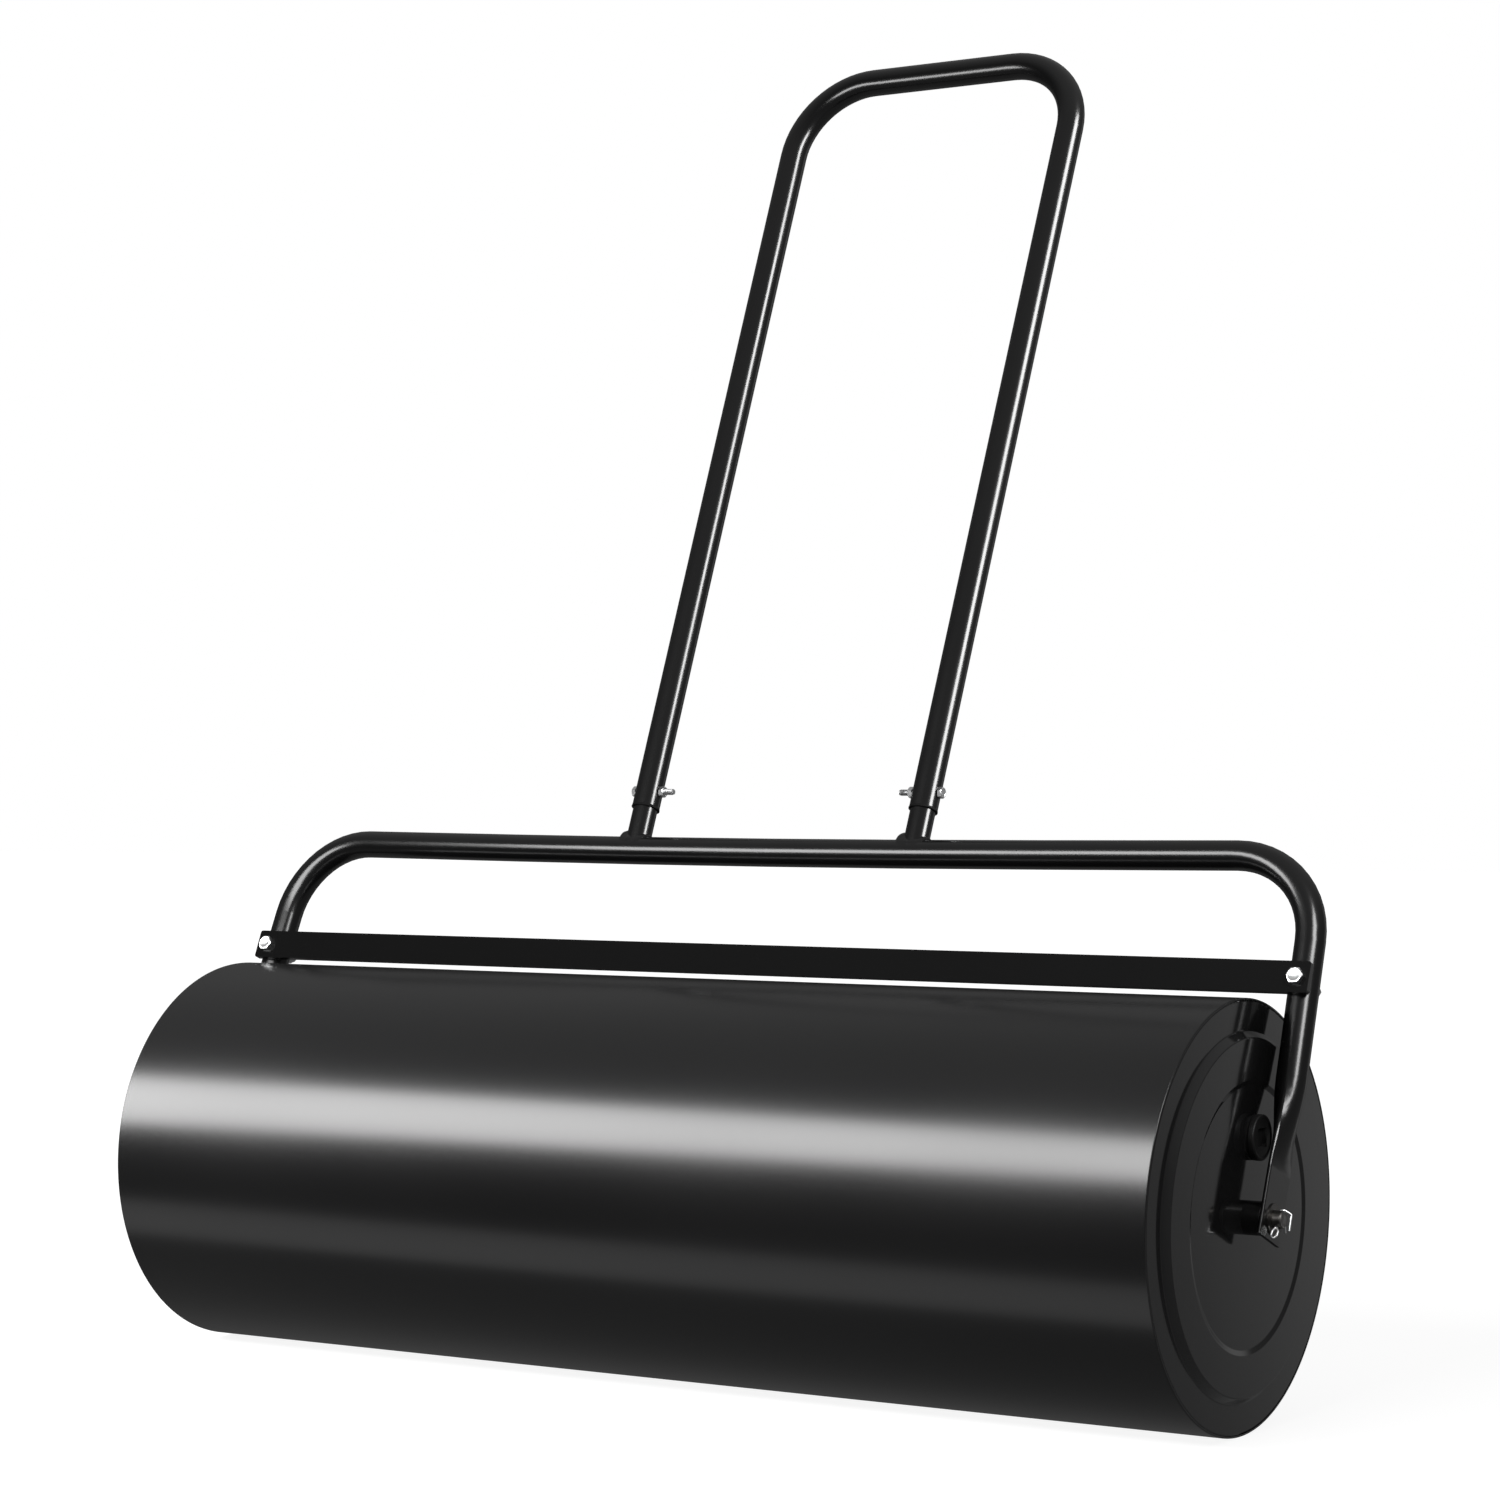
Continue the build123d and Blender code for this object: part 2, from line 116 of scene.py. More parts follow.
def make_softbox(name, place, aim, along, size, power, receivers):
    """A rectangular light on some pieces only, with its width along a direction, unseen by the camera."""
    data = bpy.data.lights.new(name, "AREA")
    data.shape = "RECTANGLE"
    data.size, data.size_y = size
    data.energy = power
    light = bpy.data.objects.new(name, data)
    back = (Vector(place) - Vector(aim)).normalized()
    width = (Vector(along) - back * back.dot(Vector(along))).normalized()
    light.matrix_world = Matrix((width, back.cross(width), back)).transposed().to_4x4()
    light.location = place
    light.visible_camera = False
    bpy.context.collection.objects.link(light)
    lit = bpy.data.collections.new(name + "_lit")
    for piece in receivers:
        lit.objects.link(piece)
    light.light_linking.receiver_collection = lit


def map_range(nodes, links, source, low, high, to_low, to_high):
    """A smooth step of a number between two values."""
    node = nodes.new("ShaderNodeMapRange")
    node.interpolation_type = "SMOOTHSTEP"
    node.inputs["From Min"].default_value = low
    node.inputs["From Max"].default_value = high
    node.inputs["To Min"].default_value = to_low
    node.inputs["To Max"].default_value = to_high
    links.new(source, node.inputs["Value"])
    return node.outputs["Result"]


def blend(nodes, links, factor, first, second):
    """One number running over into another, from a node or fixed, as a factor goes from 0 to 1."""
    node = nodes.new("ShaderNodeMix")
    links.new(factor, node.inputs["Factor"])
    links.new(first, node.inputs["A"])
    if isinstance(second, float):
        node.inputs["B"].default_value = second
    else:
        links.new(second, node.inputs["B"])
    return node.outputs["Result"]


def make_world():
    """White behind the roller, and round it a room that is dark in front and brighter above and behind.

    One corner of the room is brighter still: it is what the right end cap mirrors.
    """
    world = bpy.data.worlds.new("studio")
    world.use_nodes = True
    nodes, links = world.node_tree.nodes, world.node_tree.links
    nodes.clear()
    place = nodes.new("ShaderNodeTexCoord")
    parts = nodes.new("ShaderNodeSeparateXYZ")
    links.new(place.outputs["Generated"], parts.inputs["Vector"])
    walls = map_range(nodes, links, parts.outputs["Y"], *WALL_BAND, ROOM_FRONT, ROOM_BACK)
    corner = map_range(nodes, links, parts.outputs["Y"], *CORNER_BAND, *ROOM_CORNER)
    sideways = map_range(nodes, links, parts.outputs["X"], *CORNER_START, 0.0, 1.0)
    room = blend(nodes, links, sideways, walls, corner)
    for level, part, bounds in ((ROOM_SIDE, "X", SIDE_BAND), (CEILING, "Z", CEILING_BAND),
                                (GROUND, "Z", GROUND_BAND)):
        share = map_range(nodes, links, parts.outputs[part], *bounds, 0.0, 1.0)
        room = blend(nodes, links, share, room, level)
    around = nodes.new("ShaderNodeBackground")
    links.new(room, around.inputs["Color"])
    behind = nodes.new("ShaderNodeBackground")
    behind.inputs["Color"].default_value = (1.0, 1.0, 1.0, 1.0)
    path = nodes.new("ShaderNodeLightPath")
    mix = nodes.new("ShaderNodeMixShader")
    links.new(path.outputs["Is Camera Ray"], mix.inputs["Fac"])
    links.new(around.outputs[0], mix.inputs[1])
    links.new(behind.outputs[0], mix.inputs[2])
    output = nodes.new("ShaderNodeOutputWorld")
    links.new(mix.outputs[0], output.inputs["Surface"])
    bpy.context.scene.world = world


def floor_material():
    """Pale floor that runs out into the white background and keeps a faint shadow near the roller. For the camera
    it also glows with painted light, a little dimmer near the roller: painted shade there.
    """
    material = bpy.data.materials.new("floor_white")
    material.use_nodes = True
    nodes, links = material.node_tree.nodes, material.node_tree.links
    nodes.clear()
    matt = nodes.new("ShaderNodeBsdfDiffuse")
    matt.inputs["Color"].default_value = (FLOOR_GREY, FLOOR_GREY, FLOOR_GREY, 1.0)
    place = nodes.new("ShaderNodeTexCoord")
    distance = nodes.new("ShaderNodeVectorMath")
    distance.operation = "LENGTH"
    links.new(place.outputs["Object"], distance.inputs[0])
    # painted glow for camera rays: dimmer near the roller, a painted shade there
    glow = nodes.new("ShaderNodeEmission")
    brightness = map_range(nodes, links, distance.outputs["Value"], *FLOOR_FADE, FLOOR_GLOW, 1.0)
    links.new(brightness, glow.inputs["Color"])
    both = nodes.new("ShaderNodeAddShader")
    links.new(matt.outputs[0], both.inputs[0])
    links.new(glow.outputs[0], both.inputs[1])
    path = nodes.new("ShaderNodeLightPath")
    mix = nodes.new("ShaderNodeMixShader")
    links.new(path.outputs["Is Camera Ray"], mix.inputs["Fac"])
    links.new(matt.outputs[0], mix.inputs[1])
    links.new(both.outputs[0], mix.inputs[2])
    output = nodes.new("ShaderNodeOutputMaterial")
    links.new(mix.outputs[0], output.inputs["Surface"])
    return material


def make_floor():
    """The plain pale floor."""
    mesh = bpy.data.meshes.new("floor")
    corners = [(FLOOR_HALF * x, FLOOR_HALF * y, 0) for x, y in ((-1, -1), (1, -1), (1, 1), (-1, 1))]
    mesh.from_pydata(corners, [], [(0, 1, 2, 3)])
    mesh.materials.append(floor_material())
    floor = bpy.data.objects.new("floor", mesh)
    floor.visible_glossy = False
    floor.visible_shadow = False
    bpy.context.collection.objects.link(floor)


# ---------------------------------------------------------------- materials
GRAIN_DETAIL = 2.0
CLOUD_BAND = (0.3, 0.7)                            # the noise's values between which the gloss varies


def noise_bump(nodes, links, place, scale, height, under=None):
    """Fine relief from a noise, on top of another relief if there is one."""
    grain = nodes.new("ShaderNodeTexNoise")
    grain.inputs["Scale"].default_value = scale
    grain.inputs["Detail"].default_value = GRAIN_DETAIL
    links.new(place, grain.inputs["Vector"])
    bump = nodes.new("ShaderNodeBump")
    bump.inputs["Distance"].default_value = height
    links.new(grain.outputs["Fac"], bump.inputs["Height"])
    if under:
        links.new(under, bump.inputs["Normal"])
    return bump.outputs["Normal"]


def finish(name, colour, roughness, reliefs, mottle=0.15, cloud_scale=9.0, cloud_detail=6.0, metallic=0.0,
           ior=1.5):
    """A surface whose colour and gloss vary softly, with fine relief from noises: (scale, height) each."""
    material = bpy.data.materials.new(name)
    material.use_nodes = True
    nodes, links = material.node_tree.nodes, material.node_tree.links
    shader = nodes["Principled BSDF"]
    shader.inputs["Metallic"].default_value = metallic
    shader.inputs["IOR"].default_value = ior
    place = nodes.new("ShaderNodeTexCoord").outputs["Object"]
    cloud = nodes.new("ShaderNodeTexNoise")
    cloud.inputs["Scale"].default_value = cloud_scale
    cloud.inputs["Detail"].default_value = cloud_detail
    links.new(place, cloud.inputs["Vector"])
    tint = nodes.new("ShaderNodeMix")
    tint.data_type = "RGBA"
    tint.inputs["A"].default_value = (*[c * (1 - mottle) for c in colour], 1.0)
    tint.inputs["B"].default_value = (*[c * (1 + mottle) for c in colour], 1.0)
    links.new(cloud.outputs["Fac"], tint.inputs["Factor"])
    links.new(tint.outputs["Result"], shader.inputs["Base Color"])
    smooth, rough = roughness * (1 - mottle / 2), roughness * (1 + mottle / 2)
    gloss = map_range(nodes, links, cloud.outputs["Fac"], *CLOUD_BAND, smooth, rough)
    links.new(gloss, shader.inputs["Roughness"])
    relief = None
    for scale, height in reliefs:
        relief = noise_bump(nodes, links, place, scale, height, relief)
    links.new(relief, shader.inputs["Normal"])
    return material


BLACK = (0.0030, 0.0030, 0.0031)
FINISHES = {
    "drum_paint": finish("drum_paint", BLACK, 0.25, [(330.0, 0.000006)],
                         mottle=0.1, cloud_scale=5.0, cloud_detail=0.0),
    "cap_paint": finish("cap_paint", (0.018, 0.018, 0.0185), 0.08, [(25.0, 0.000006), (260.0, 0.000003)]),
    "frame_paint": finish("frame_paint", BLACK, 0.21, [(60.0, 0.000005), (420.0, 0.0000015)]),
    "weld_paint": finish("weld_paint", BLACK, 0.17, [(700.0, 0.00016), (2500.0, 0.00004)]),
    "zinc": finish("zinc", (0.76, 0.765, 0.77), 0.30, [(500.0, 0.00002), (3000.0, 0.000006)],
                   mottle=0.1, cloud_scale=300.0, metallic=1.0),
    "axle_steel": finish("axle_steel", (0.11, 0.105, 0.10), 0.36, [(900.0, 0.00002)],
                         mottle=0.25, cloud_scale=200.0, metallic=1.0),
    "nylon": finish("nylon", (0.022, 0.022, 0.023), 0.42, [(900.0, 0.00001)], cloud_scale=90.0),
    "plug_plastic": finish("plug_plastic", (0.004, 0.004, 0.004), 0.5, [(1400.0, 0.00003)],
                           cloud_scale=120.0, ior=1.35),
    # near black and matt: the gasket's own rubber; on the leg rims it is also painted shade of the joint's gap
    "rubber": finish("rubber", (0.002, 0.002, 0.002), 0.75, [(1100.0, 0.00004)],
                     cloud_scale=150.0, ior=1.25),
}


def dress_cad():
    """Every CAD node's material slots get the finish that the record names for it."""
    for part in frame["record"]["subparts"]:
        for entry in NODES[part["node"]].material_slots:
            entry.material = FINISHES[part["material_slot"]]


# ---------------------------------------------------------------- turned pieces
SMOOTH_ANGLE = radians(35)
PIECES = {}


def add_piece(name, bm, body, slot, replaced=()):
    """Makes a mesh into a piece that rides on a body and stands for some CAD nodes."""
    bmesh.ops.remove_doubles(bm, verts=bm.verts, dist=1e-7)
    bmesh.ops.recalc_face_normals(bm, faces=bm.faces)
    for face in bm.faces:
        face.smooth = True
    for edge in bm.edges:
        edge.smooth = edge.calc_face_angle(0.0) < SMOOTH_ANGLE
    mesh = bpy.data.meshes.new(name)
    bm.to_mesh(mesh)
    bm.free()
    mesh.materials.append(FINISHES[slot])
    piece = bpy.data.objects.new(name, mesh)
    bpy.context.collection.objects.link(piece)
    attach(piece, body)
    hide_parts(*replaced)
    PIECES[name] = piece


def turn(bm, place, axis, zero, rings, steps, hollow=False):
    """Adds a surface around an axis. Each ring gives its radius and height, as numbers or by the angle."""
    side = (zero - axis * zero.dot(axis)).normalized()
    across = axis.cross(side)
    loops = []
    for ring in rings:
        loop = []
        for step in range(steps):
            angle = 2 * pi * step / steps
            radius, height = ring(angle) if callable(ring) else ring
            out = side * cos(angle) + across * sin(angle)
            loop.append(bm.verts.new(place + axis * height + out * radius))
        loops.append(loop)
    pairs = list(zip(loops, loops[1:]))
    if hollow:
        pairs.append((loops[-1], loops[0]))
    for low, high in pairs:
        for step in range(steps):
            after = (step + 1) % steps
            bm.faces.new((low[step], low[after], high[after], high[step]))


def rounded(corners, radius, steps=4):
    """An open outline of (radius, height) points with its inner corners rounded."""
    line = [corners[0]]
    for before, corner, after in zip(corners, corners[1:], corners[2:]):
        start = toward(corner, before, radius)
        end = toward(corner, after, radius)
        for step in range(steps + 1):
            share = step / steps
            weights = ((1 - share) ** 2, 2 * share * (1 - share), share ** 2)
            points = list(zip(weights, (start, corner, end)))
            line.append(tuple(sum(weight * point[i] for weight, point in points) for i in (0, 1)))
    return line + [corners[-1]]


def toward(start, end, distance):
    """The point at a distance from one point on the way to another, at most halfway."""
    length = hypot(end[0] - start[0], end[1] - start[1])
    share = min(distance / length, 0.5)
    return (start[0] + (end[0] - start[0]) * share, start[1] + (end[1] - start[1]) * share)


# ---------------------------------------------------------------- bolts and nuts
HEX_STEPS = 48
HEX_CHAMFER = radians(30)
HEX_TOP = 0.95                                     # the flat top's width over the hexagon's
HEAD_DISH = (0.8, 0.74)                            # the shallow dish's rim and floor over the head's width
HEAD_DISH_DEPTH = (0.2 * MM, 0.25 * MM)            # at the floor's edge and in its middle
THREAD_DEPTH = 0.6                                 # over the pitch
THREAD_ROWS = 4                                    # rings for each turn
NUT_SINK = 0.5                                     # the countersink's depth over the pitch
NUT_GAP = 0.05 * MM


class BoltSize:
    """A hexagon bolt and its nut, in metres."""

    def __init__(self, diameter, pitch, flats, head, nut, thread):
        self.radius = diameter / 2 * MM
        self.pitch = pitch * MM
        self.flats = flats * MM
        self.head = head * MM
        self.nut = nut * MM
        self.thread = thread * MM                  # length of the threaded end


LEG_BOLT = BoltSize(5.0, 0.8, 8.0, 3.5, 4.0, 16.0)
BAR_BOLT = BoltSize(6.35, 1.27, 11.1, 4.0, 5.6, 19.0)


def hex_side(size, height, inset=0.0):
    """The hexagon's outline at a height, as a ring, with the chamfer's height off it where it is the top."""
    def ring(angle):
        turned = (angle + pi / 6) % (pi / 3) - pi / 6
        radius = size.flats / 2 / cos(turned)
        beyond = radius - size.flats / 2 * HEX_TOP
        return radius, height - inset * beyond * tan(HEX_CHAMFER)
    return ring


def thread_ring(size, height):
    """One ring of a screw thread."""
    def ring(angle):
        phase = (height / size.pitch - angle / (2 * pi)) % 1.0
        return size.radius - THREAD_DEPTH * size.pitch * abs(2 * phase - 1), height
    return ring


def bolt(bm, seat, outward, size, length):
    """Adds a bolt whose head sits on a point: tip, thread, shank, and chamfered head."""
    tip = size.pitch
    count = int((size.thread - tip) / size.pitch * THREAD_ROWS)
    core = size.radius - THREAD_DEPTH * size.pitch
    rings = [(0.0, -length), (core, -length)]
    rings += [thread_ring(size, tip - length + size.pitch * step / THREAD_ROWS) for step in range(count)]
    rings += [(size.radius, size.thread - length + tip), (size.radius, 0.0)]
    rings += [hex_side(size, 0.0, -0.5), hex_side(size, size.head, 1.0)]
    rings += [(size.flats / 2 * HEX_TOP, size.head), (size.flats / 2 * HEAD_DISH[0], size.head)]
    rings += [(size.flats / 2 * HEAD_DISH[1], size.head - HEAD_DISH_DEPTH[0])]
    rings += [(0.0, size.head - HEAD_DISH_DEPTH[1])]
    turn(bm, seat, outward, UP, rings, HEX_STEPS)


def nut(bm, seat, outward, size):
    """Adds a nut that sits on a point, with both its faces chamfered and its bore countersunk."""
    bore = size.radius + NUT_GAP
    sink = bore + NUT_SINK * size.pitch
    face = size.flats / 2 * HEX_TOP
    rings = [(bore, NUT_SINK * size.pitch), (sink, 0.0), (face, 0.0), hex_side(size, 0.0, -1.0)]
    rings += [hex_side(size, size.nut, 1.0), (face, size.nut), (sink, size.nut)]
    rings += [(bore, size.nut - NUT_SINK * size.pitch)]
    turn(bm, seat, outward, UP, rings, HEX_STEPS, hollow=True)


def node_middle(node, side):
    """The middle of a CAD node's box along the yoke's own directions, on one side."""
    return at(middle(node, ACROSS, side), middle(node, UP, side), middle(node, FRONT, side))


def make_bolts(kind, outward, size):
    """Both bolts of a kind, from where their CAD nodes reach. outward gives the head's direction by side."""
    node = kind + "_bolts"
    bm = bmesh.new()
    for side in SIDES.values():
        axis = outward(side)
        tip, top = span(node, axis, side)
        place = node_middle(node, side)
        seat = place + axis * (top - size.head - place.dot(axis))
        bolt(bm, seat, axis, size, top - size.head - tip)
    add_piece(node[:-1] + "_pair", bm, "frame", "zinc", [node])


def make_nuts(kind, outward, size):
    """Both nuts of a kind, with outward pointing away from their seats by side."""
    node = kind + "_nuts"
    bm = bmesh.new()
    for side in SIDES.values():
        axis = outward(side)
        place = node_middle(node, side)
        seat = place + axis * (span(node, axis, side)[0] - place.dot(axis))
        nut(bm, seat, axis, size)
    add_piece(node[:-1] + "_pair", bm, "frame", "zinc", [node])


# ---------------------------------------------------------------- drum
DRUM_STEPS = 256
SEAM_TURN = radians(250)                           # the lengthwise weld, at the drum's rear
SEAM_HALF = 2.2 * MM
SEAM_HEIGHT = 0.35 * MM
SEAM_STEPS = 360
SEAM_LUMPS = 90                                    # the scale of its uneven height
SEAM_RIPPLE = 3 * MM                               # half the length of one ripple
SHELL_WALL = 1.5 * MM
SHELL_EDGE = 0.9 * MM


def make_drum_skin():
    """The rolled sheet, with rounded ends and its ground-down lengthwise weld."""
    low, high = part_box("drum_shell")
    radius, half = AXIS.z - low.z, high.x
    outline = [(radius - SHELL_WALL, -half), (radius, -half), (radius, half), (radius - SHELL_WALL, half)]
    bm = bmesh.new()
    turn(bm, AXIS, ACROSS, Vector((0, 0, 1)), rounded(outline, SHELL_EDGE), DRUM_STEPS, hollow=True)
    add_piece("drum_skin", bm, "drum", "drum_paint", ["drum_shell"])
    make_seam(radius, half)


def make_seam(radius, half):
    """The flat bead of the lengthwise weld, with its faint ripples."""
    bm = bmesh.new()
    loops = []
    half_outline = [(-1.0, -0.4), (-0.8, 0.5), (-0.35, 0.95)]
    outline = half_outline + [(0.0, 1.0)] + [(-across, height) for across, height in reversed(half_outline)]
    for step in range(SEAM_STEPS + 1):
        x = (half - SHELL_EDGE) * (2 * step / SEAM_STEPS - 1)
        lumps = 0.25 * noise.noise(Vector((x * SEAM_LUMPS, 3.1, 0.0)))
        swell = 1.0 + lumps + 0.12 * sin(x / SEAM_RIPPLE * pi)
        loop = []
        for across, height in outline:
            angle = SEAM_TURN + across * SEAM_HALF / radius
            out = radius + height * SEAM_HEIGHT * swell
            loop.append(bm.verts.new((x, AXIS.y - sin(angle) * out, AXIS.z + cos(angle) * out)))
        loops.append(loop)
    for low, high in zip(loops, loops[1:]):
        for index in range(len(outline)):
            after = (index + 1) % len(outline)
            bm.faces.new((low[index], low[after], high[after], high[index]))
    bm.faces.new(loops[0])
    bm.faces.new(loops[-1])
    add_piece("drum_seam", bm, "drum", "drum_paint")


# ---------------------------------------------------------------- filler plug
PLUG_STEPS = 96
PLUG_EDGE = 1.1 * MM
PLUG_SQUARE = 6.45 * MM                            # half the wrench recess's width
PLUG_SQUARE_DEPTH = 3.4 * MM
PLUG_SHOULDER = 3.0 * MM                           # how far the head stands out past the shank
PLUG_RIM = (2.0 * MM, 2.6 * MM)                    # the rim's inner edge and foot, in from the head's edge
PLUG_RIM_HEIGHT = 0.5 * MM
PLUG_FLAT = 1.55                                   # the flat face's inner edge over the recess
PLUG_BEVEL = 0.6 * MM                              # round the recess's mouth
PLUG_DRAFT = 0.2 * MM                              # how much the recess narrows to its floor


def square_ring(half, height):
    """A square outline with rounded corners, as a ring."""
    power = 8

    def ring(angle):
        spread = (abs(cos(angle)) ** power + abs(sin(angle)) ** power) ** (1 / power)
        return half / spread, height
    return ring


def make_plug():
    """The screw plug: a soft-edged head with a shallow rim and a square wrench recess."""
    low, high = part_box("filler_plug")
    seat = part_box("plug_gasket")[1].x
    head, top, bottom = (high.z - low.z) / 2, high.x - PORT.x, low.x - PORT.x
    under = seat - PORT.x
    shank = head - PLUG_SHOULDER
    face = top - PLUG_RIM_HEIGHT
    rings = rounded([(0.0, bottom), (shank, bottom), (shank, under), (head, under), (head, top),
                     (head - PLUG_RIM[0], top), (head - PLUG_RIM[1], face),
                     (PLUG_SQUARE * PLUG_FLAT, face)], PLUG_EDGE)
    rings += [square_ring(PLUG_SQUARE + PLUG_BEVEL, face), square_ring(PLUG_SQUARE, top - 1.0 * MM)]
    rings += [square_ring(PLUG_SQUARE - PLUG_DRAFT, top - PLUG_SQUARE_DEPTH), (0.0, top - PLUG_SQUARE_DEPTH)]
    bm = bmesh.new()
    turn(bm, PORT, ACROSS, Vector((0, 0, 1)), rings, PLUG_STEPS)
    add_piece("screw_plug", bm, "plug", "plug_plastic", ["filler_plug"])


# ---------------------------------------------------------------- handle feet and welds
RIM_HEIGHT = 2.0 * MM
RIM_FLARE = 0.4 * MM
RIM_WALL = 0.9 * MM
RIM_STEPS = 64
RIM_EDGE = 0.3 * MM
WELD_STEPS = 120                                   # cross-sections round a stub
WELD_ROWS = 6                                      # steps across one cross-section
WELD_RIPPLES = 26
WELD_RIPPLE = 0.16 * MM
WELD_BULGE = 0.16                                  # over the fillet's width
WELD_REACH = (2.2, 4.2)                            # mm along the bar: all round, and more on its left
WELD_CLIMB = (2.6, 3.2)                            # mm up the stub, in the same way
WELD_LIMIT = 0.95                                  # of the bar's radius, where the bead has to end
WELD_SINK = 0.4 * MM                               # how deep its edges go into the bar and stub
WELD_FLOOR = 0.5 * MM
WELD_SLANT = 0.7                                   # a bulge's share outward and its share upward


def foot_centre(side):
    """The middle of a handle leg's lower end, and its radius."""
    foot = span("handle_tube", UP, side)[0]
    low = [v.co for v in NODES["handle_tube"].data.vertices if v.co.x * side > 0 and v.co.dot(UP) < foot + MM]
    xs = [point.x for point in low]
    fronts = [point.dot(FRONT) for point in low]
    return at((min(xs) + max(xs)) / 2, foot, (min(fronts) + max(fronts)) / 2), (max(xs) - min(xs)) / 2


def make_leg_rims():
    """The slightly flared, matt rim at the lower end of each handle leg. It is near black: partly the tube's dark
    cut end, partly painted shade of the gap where the leg meets its stub.
    """
    bm = bmesh.new()
    for side in SIDES.values():
        centre, radius = foot_centre(side)
        inside = radius - RIM_WALL
        outline = [(inside, 0.0), (radius + RIM_FLARE, 0.0), (radius + RIM_FLARE * 0.7, RIM_HEIGHT * 0.6),
                   (radius - 0.05 * MM, RIM_HEIGHT), (inside, RIM_HEIGHT)]
        turn(bm, centre, UP, ACROSS, rounded(outline, RIM_EDGE), RIM_STEPS, hollow=True)
    add_piece("leg_rims_shade", bm, "frame", "rubber")


def bar_surface(across, front, top):
    """Where the yoke's top bar lies straight below a point, as a height up the yoke."""
    hit, place, _, _ = NODES["yoke_tube"].ray_cast(at(across, top, front), -UP)
    if not hit:
        raise ValueError("the weld's ring misses the top bar")
    return place.dot(UP)


def weld_section(angle, centre, radius, tube, front, top, seed):
    """One cross-section of the bead around a stub: points as (distance from the stub's axis, height)."""
    run = max(0.0, -cos(angle)) ** 1.5             # the bead runs out further on its left
    lumps = 1.0 + 0.35 * noise.noise(Vector((cos(angle) * 3, sin(angle) * 3, seed)))
    reach = radius + (WELD_REACH[0] + WELD_REACH[1] * run) * lumps * MM
    reach = min(reach, WELD_LIMIT * tube / max(abs(sin(angle)), 0.001))
    climb = (WELD_CLIMB[0] + WELD_CLIMB[1] * run) * lumps * MM
    outer = bar_surface(centre + reach * cos(angle), front + reach * sin(angle), top)
    inner = bar_surface(centre + radius * cos(angle), front + radius * sin(angle), top)
    section = [(reach + 0.1 * MM, outer - WELD_SINK)]
    for step in range(WELD_ROWS + 1):
        share = step / WELD_ROWS
        ripple = WELD_RIPPLE * sin(angle * WELD_RIPPLES + 2.2 * abs(share - 0.5))
        bulge = (WELD_BULGE * hypot(reach - radius, climb) + ripple) * sin(pi * share)
        section.append((reach + (radius - reach) * share + bulge * WELD_SLANT,
                        outer + (inner + climb - outer) * share + bulge * WELD_SLANT))
    return section + [(radius - WELD_SINK, inner + climb), (radius - WELD_SINK, inner - WELD_FLOOR)]


def make_welds():
    """The fillet bead round each stub's foot, rippled and a little lumpy."""
    bm = bmesh.new()
    for name, side in SIDES.items():
        node = "handle_stub_" + name
        near = span(node, ACROSS * side)[0]
        fronts = span(node, FRONT)
        radius, front = (fronts[1] - fronts[0]) / 2, sum(fronts) / 2
        handle = span("handle_tube", FRONT)
        tube = (handle[1] - handle[0]) / 2         # the yoke's tube is as thick as the handle's
        centre, top = side * (near + radius), span(node, UP)[1]
        loops = []
        for step in range(WELD_STEPS):
            angle = 2 * pi * step / WELD_STEPS
            section = weld_section(angle, centre, radius, tube, front, top, 5.0 * side)
            points = [at(centre + r * cos(angle), u, front + r * sin(angle)) for r, u in section]
            loops.append([bm.verts.new(point) for point in points])
        for index, low in enumerate(loops):
            high = loops[(index + 1) % WELD_STEPS]
            for point in range(len(low)):
                after = (point + 1) % len(low)
                bm.faces.new((low[point], low[after], high[after], high[point]))
    add_piece("stub_beads", bm, "frame", "weld_paint", ["stub_welds"])


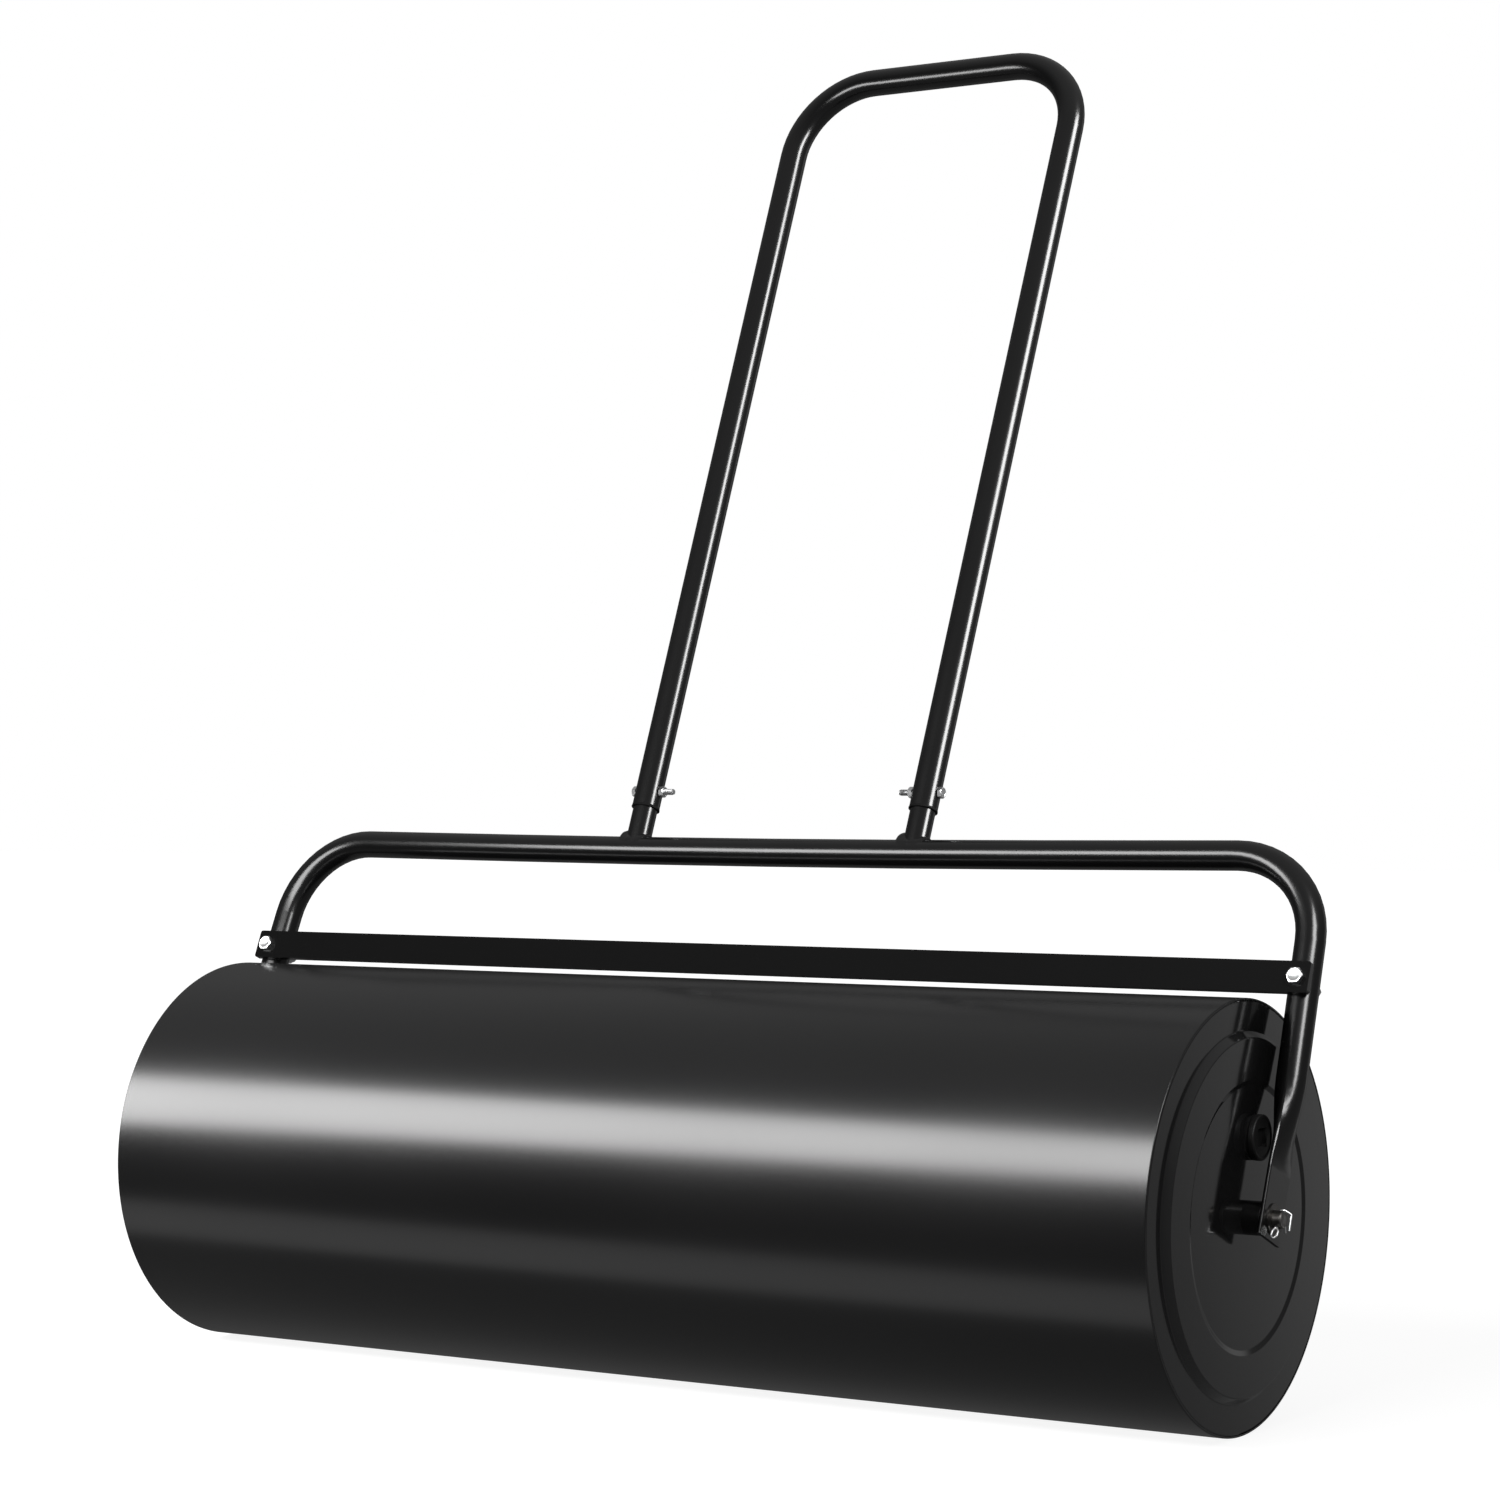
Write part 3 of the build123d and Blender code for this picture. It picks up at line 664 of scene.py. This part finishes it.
# ---------------------------------------------------------------- assembly
STRIP_AIM = (-0.2, 0.0, 0.2)                       # low on the drum, left of its middle
STRIP_ALONG = (1.0, 0.25, -0.134)


def make_lights():
    """Two strips in front, one low down for the drum, and two tall boxes at the right, by group of pieces."""
    legs = [NODES[name] for name in ("handle_tube", "handle_stub_left", "handle_stub_right")]
    legs += [PIECES[name] for name in ("handle_bolt_pair", "handle_nut_pair", "leg_rims_shade")]
    rest = [piece for name, piece in {**NODES, **PIECES}.items() if piece not in legs]
    caps = [NODES[name] for name in ("end_cap_right", "end_cap_left", "filler_boss")]
    yoke, bar = NODES["yoke_tube"], NODES["scraper_bar"]
    flat = [piece for piece in rest if piece not in (yoke, bar)] + [bpy.data.objects["floor"]]
    make_softbox("front_strip", place=(-0.6, -1.05, 0.79), aim=STRIP_AIM, along=STRIP_ALONG,
                 size=(2.5, 0.50), power=53.0, receivers=flat)
    make_softbox("bar_strip", place=(-0.45, -1.01, 0.77), aim=STRIP_AIM, along=STRIP_ALONG,
                 size=(1.15, 0.46), power=21.0, receivers=[yoke] + legs)
    make_softbox("low_strip", place=(-0.05, -0.27, 0.004), aim=(-0.05, -0.25, 0.2), along=ACROSS,
                 size=(1.5, 0.12), power=0.36, receivers=[PIECES["drum_skin"]])
    make_softbox("leg_box", place=(2.6, 0.30, 1.8), aim=(0.0, 0.25, 0.70), along=(0.0, 1.0, -0.35),
                 size=(1.1, 2.0), power=165.0, receivers=legs)
    make_softbox("arm_box", place=(2.6, -1.08, 2.3), aim=(0.45, 0.05, 0.35), along=(0.0, 1.0, 0.0),
                 size=(1.0, 1.6), power=76.0, receivers=[piece for piece in rest if piece not in caps])


make_camera()
make_world()
make_floor()
dress_cad()
make_drum_skin()
make_plug()
make_bolts("handle", lambda side: ACROSS * side, LEG_BOLT)
make_nuts("handle", lambda side: ACROSS * -side, LEG_BOLT)
make_bolts("scraper", lambda side: FRONT, BAR_BOLT)
make_nuts("scraper", lambda side: -FRONT, BAR_BOLT)
make_leg_rims()
make_welds()
make_lights()
bpy.context.scene.view_settings.view_transform = "Standard"
